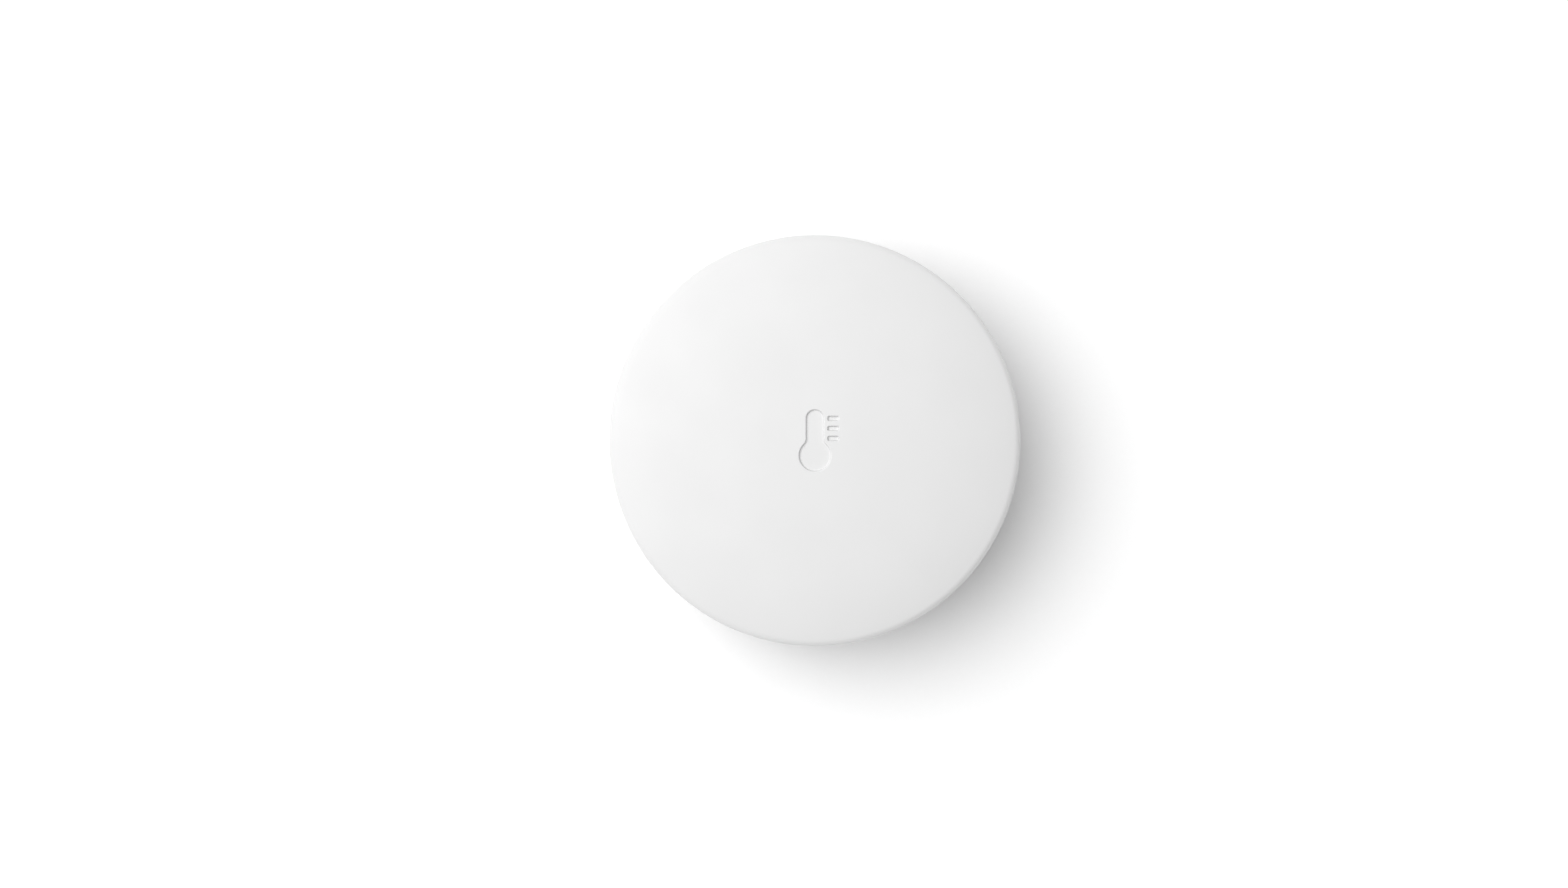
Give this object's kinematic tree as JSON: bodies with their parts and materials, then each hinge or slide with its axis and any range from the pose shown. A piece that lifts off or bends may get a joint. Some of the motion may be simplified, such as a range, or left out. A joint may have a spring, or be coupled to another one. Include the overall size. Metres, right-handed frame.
{
  "type": "wireless temperature sensor",
  "caption": "Round, shallow, domed white sensor housing that pulls off a flat back cover with a keyhole, over a circuit board and a sprung cylindrical cell.",
  "frame": {"origin": "centre of the flat back face, which lies on the wall or shelf", "axes": "+Z out of the domed face, +Y up when it hangs on a wall, so +X is to the right as its face is seen"},
  "size_m": [0.05, 0.05, 0.0198],
  "materials": {
    "casing": "fine satin moulded white",
    "frame": "plain moulded light grey",
    "seal": "dull dark grey rubber",
    "foam": "black foam",
    "label": "blank coated paper",
    "board": "green solder mask",
    "chip": "black moulding compound",
    "ceramic": "fired tan ceramic",
    "tin": "tinned sheet",
    "screw": "zinc plated",
    "nickel": "bright nickel plate",
    "cell_can": "drawn can",
    "sleeve": "shrunk film"
  },
  "bodies": {
    "base": {"back_cover": "casing", "seal_ring": "seal", "battery_pad": "foam", "rating_label": "label"},
    "housing": {"front_shell": "casing", "chassis": "frame", "main_board": "board", "shield_can": "tin", "radio_chip": "chip", "memory_chip": "chip", "temperature_sensor": "chip", "inductor": "chip", "radio_crystal": "tin", "clock_crystal": "tin", "antenna": "ceramic", "bulk_capacitor": "ceramic", "capacitor_1": "ceramic", "capacitor_2": "ceramic", "capacitor_3": "ceramic", "capacitor_4": "ceramic", "positive_contact": "nickel", "negative_contact": "nickel", "negative_spring": "nickel", "screw_1": "screw", "screw_2": "screw", "screw_3": "screw", "screw_4": "screw"},
    "battery": {"battery_can": "cell_can", "battery_sleeve": "sleeve", "battery_cap": "nickel", "battery_washer": "foam"}
  },
  "joints": [
    {"name": "housing_pull_off", "type": "slide", "parent": "base", "child": "housing", "axis": [0, 0, 1], "range_m": [0, 0.03]},
    {"name": "battery_slide", "type": "slide", "parent": "housing", "child": "battery", "axis": [1, 0, 0], "range_m": [0, 0.0015], "stiffness_N_per_m": 1500, "deforming": ["negative_spring"]}
  ]
}
